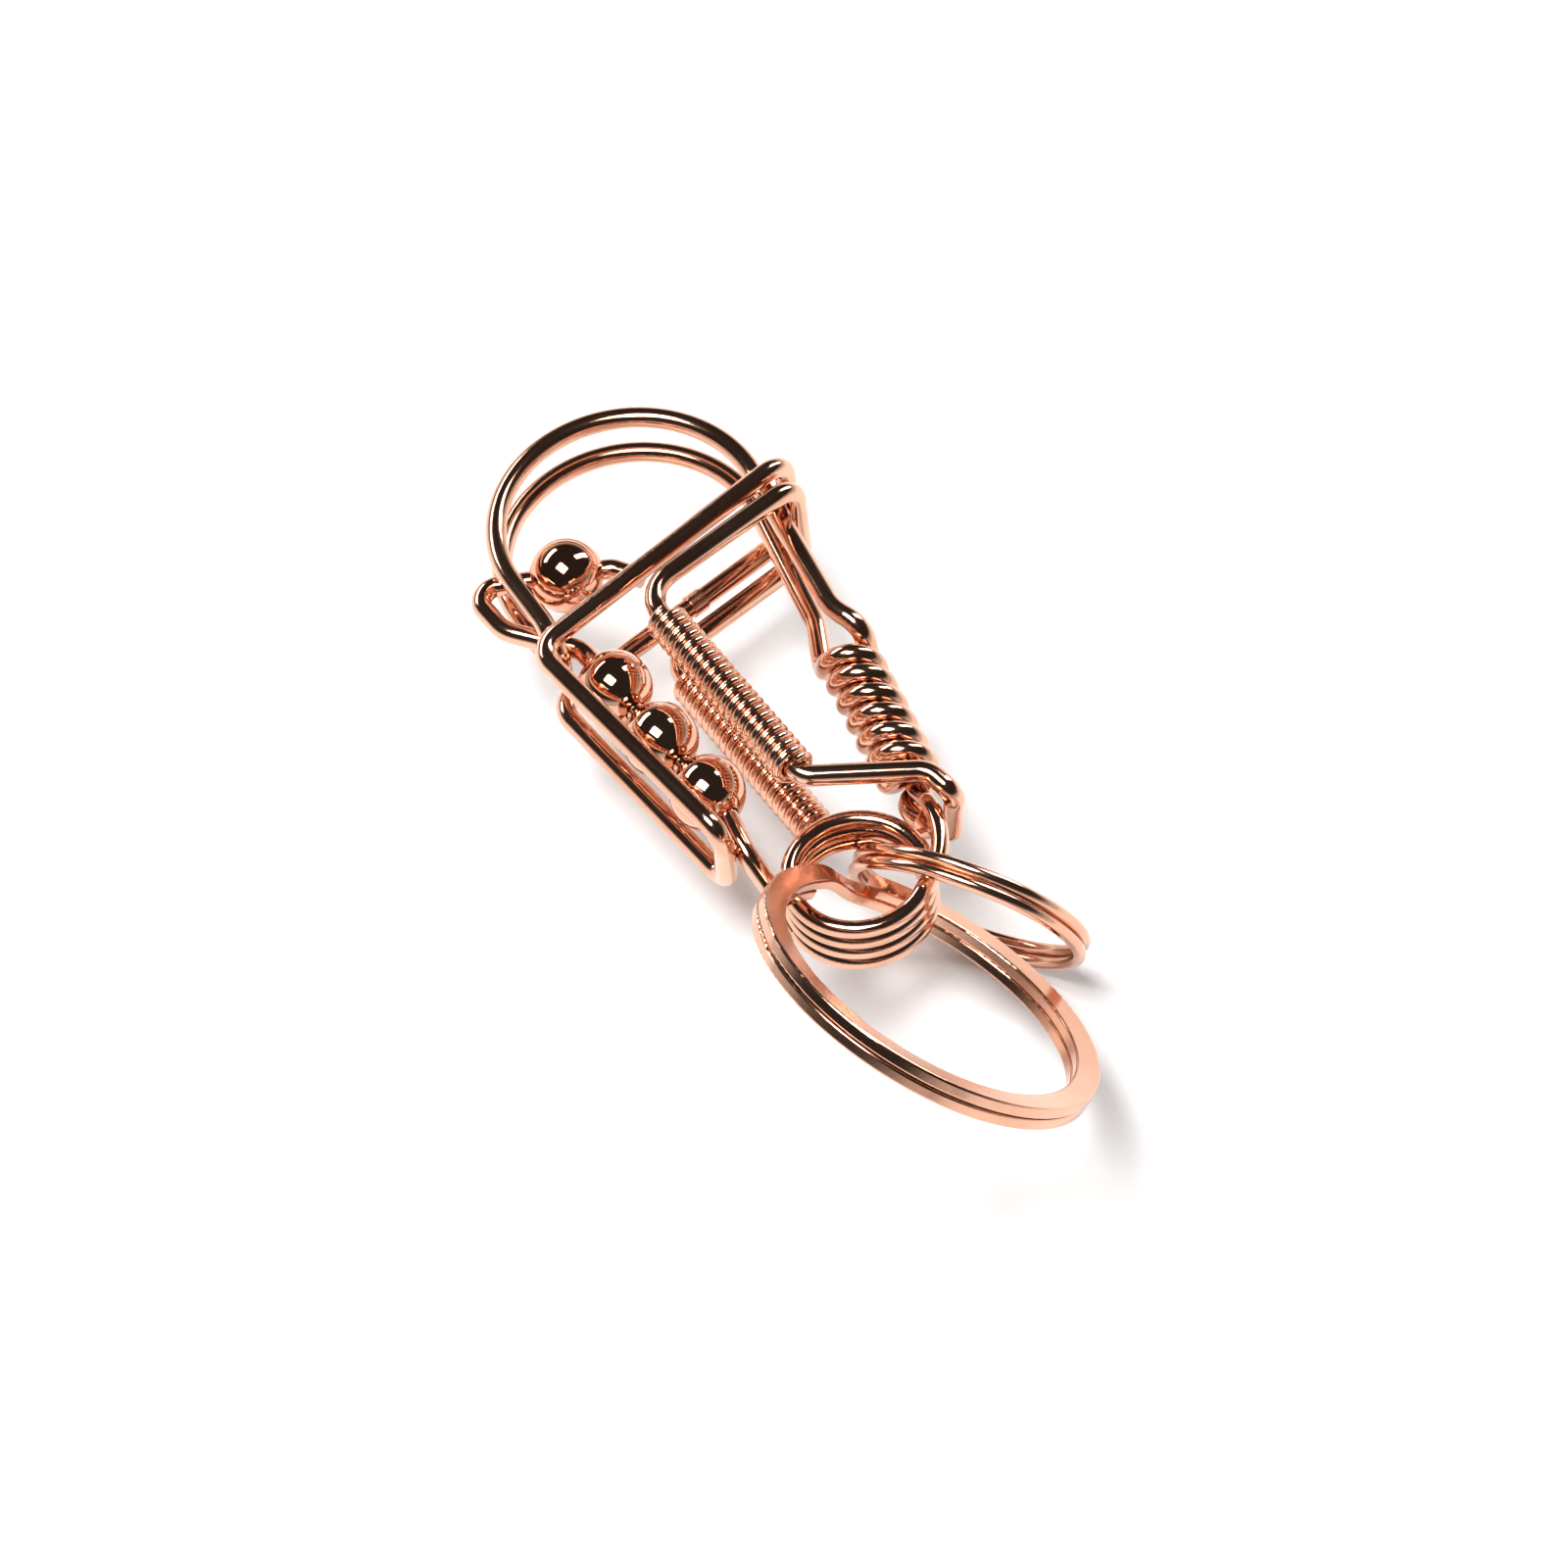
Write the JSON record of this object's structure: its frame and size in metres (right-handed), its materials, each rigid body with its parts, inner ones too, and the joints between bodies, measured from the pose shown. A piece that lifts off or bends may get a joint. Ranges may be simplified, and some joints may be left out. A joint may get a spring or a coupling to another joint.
{
  "type": "wire key clip",
  "caption": "Bent-wire key clip: a double hook closed by a sprung trigger arm with ball beads, a hinged thumb lever, a coiled eye and split rings.",
  "frame": {"origin": "centre of the spring's coiled eye, on the clip's middle plane", "axes": "+Z is square to the clip's flat side and along the eye's axis; +Y points from the eye to the middle of the hook; +X points from the trigger arm's side to the spine's side"},
  "size_m": [0.0304, 0.0775, 0.0276],
  "materials": {
    "frame_wire": "polished rose-gold plating",
    "spring_wire": "polished rose-gold plating",
    "sleeve_wire": "polished rose-gold plating",
    "bead": "mirror-polished rose-gold plating",
    "weld": "polished rose-gold plating",
    "ring": "polished rose-gold plating"
  },
  "bodies": {
    "spine": {"hook_wire": "frame_wire", "hook_windings": "frame_wire", "spring_leg": "spring_wire", "spring_eye": "spring_wire", "keeper_frame": "frame_wire"},
    "lever": {"lever_frame": "frame_wire", "lever_weld": "weld"},
    "arm": {"spring_arm": "spring_wire", "stop_bead": "bead"},
    "lower_bead": {"lower_bead": "bead"},
    "middle_bead": {"middle_bead": "bead"},
    "upper_bead": {"upper_bead": "bead"},
    "upper_sleeve": {"upper_sleeve": "sleeve_wire"},
    "lower_sleeve": {"lower_sleeve": "sleeve_wire"},
    "large_ring": {"large_split_ring": "ring"},
    "small_ring": {"small_split_ring": "ring"}
  },
  "joints": [
    {"name": "lever_turn", "type": "hinge", "parent": "spine", "child": "lever", "pos_m": [0.0096, 0.0362, 0], "axis": [0, 0, 1], "range_deg": [0, 2.4]},
    {"name": "arm_turn", "type": "hinge", "parent": "spine", "child": "arm", "pos_m": [0, 0, 0], "axis": [0, 0, 1], "range_deg": [-10.2, 0], "stiffness_Nm_per_rad": 0.02, "springref_deg": 17.19},
    {"name": "lower_bead_spin", "type": "hinge", "parent": "arm", "child": "lower_bead", "pos_m": [-0.00657, 0.01341, 0], "axis": [-0.1641, 0.9864, 0], "continuous": true},
    {"name": "middle_bead_spin", "type": "hinge", "parent": "arm", "child": "middle_bead", "pos_m": [-0.00762, 0.01972, 0], "axis": [-0.1641, 0.9864, 0], "continuous": true},
    {"name": "upper_bead_spin", "type": "hinge", "parent": "arm", "child": "upper_bead", "pos_m": [-0.00866, 0.02599, 0], "axis": [-0.1641, 0.9864, 0], "continuous": true},
    {"name": "upper_sleeve_spin", "type": "hinge", "parent": "spine", "child": "upper_sleeve", "pos_m": [-0.00217, 0.01777, 0.00485], "axis": [0.15, -0.9887, 0], "continuous": true},
    {"name": "lower_sleeve_spin", "type": "hinge", "parent": "spine", "child": "lower_sleeve", "pos_m": [-0.00078, 0.01797, -0.00485], "axis": [0.1487, -0.9889, 0], "continuous": true},
    {"name": "large_ring_turn", "type": "hinge", "parent": "spine", "child": "large_ring", "pos_m": [-0.00059, -0.01299, 0.0025], "axis": [0.6706, 0.1438, 0.7278], "continuous": true},
    {"name": "small_ring_turn", "type": "hinge", "parent": "spine", "child": "small_ring", "pos_m": [0.0077, -0.00273, -0.00487], "axis": [0.7217, 0.6251, 0.2974], "continuous": true}
  ],
  "couplings": [
    {"joint": "arm_turn", "follows": "lever_turn", "ratio": -4.2}
  ]
}
